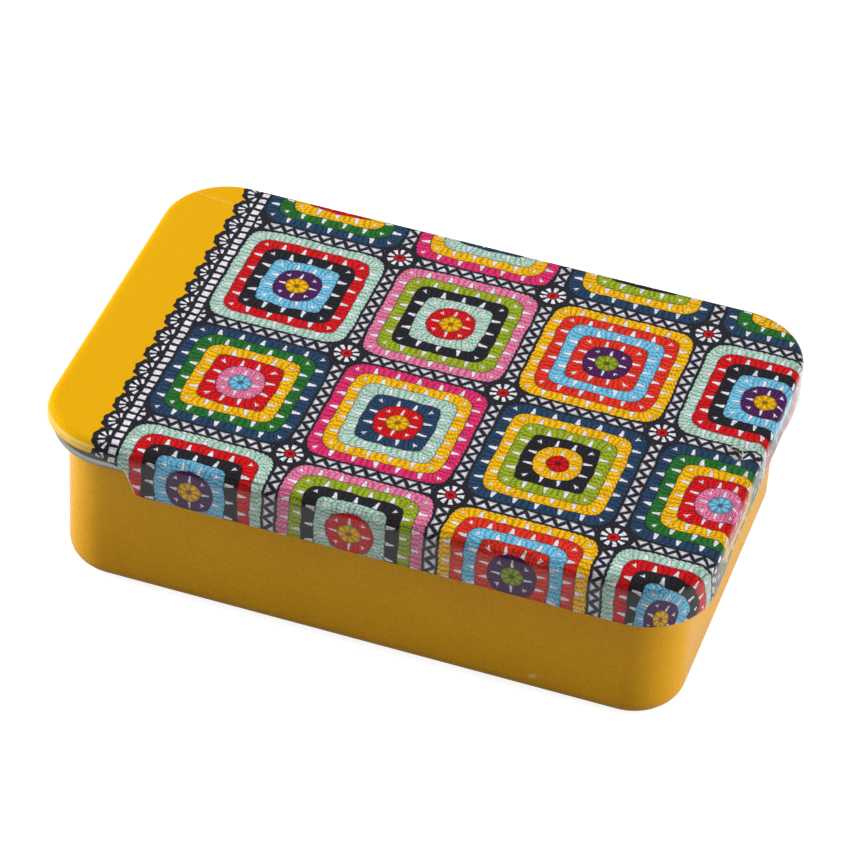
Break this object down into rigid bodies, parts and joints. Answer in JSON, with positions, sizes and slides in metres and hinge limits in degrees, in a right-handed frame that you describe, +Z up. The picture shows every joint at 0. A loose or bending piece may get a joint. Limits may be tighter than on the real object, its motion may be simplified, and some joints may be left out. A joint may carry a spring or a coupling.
{
  "type": "sewing tin",
  "caption": "Low rectangular sewing tin with rounded corners: a drawn tray with a rolled rim, and a lid that slides off along the rim.",
  "frame": {"origin": "middle of the underside of the closed tin, on the surface that it stands on", "axes": "+X along the length, towards the end that the lid slides off; +Z up out of the tray"},
  "size_m": [0.1, 0.065, 0.0285],
  "materials": {
    "tray_lacquer": "golden yellow lacquer on tinplate, satin gloss; inside and rolled rim bare tinplate",
    "lid_print": "many-coloured printed tinplate, satin gloss; underside bare tinplate"
  },
  "bodies": {
    "tray": {"tray": "tray_lacquer"},
    "lid": {"sliding_lid": "lid_print"}
  },
  "joints": [
    {"name": "lid_slide", "type": "slide", "parent": "tray", "child": "lid", "axis": [1, 0, 0], "range_m": [0, 0.104]}
  ]
}
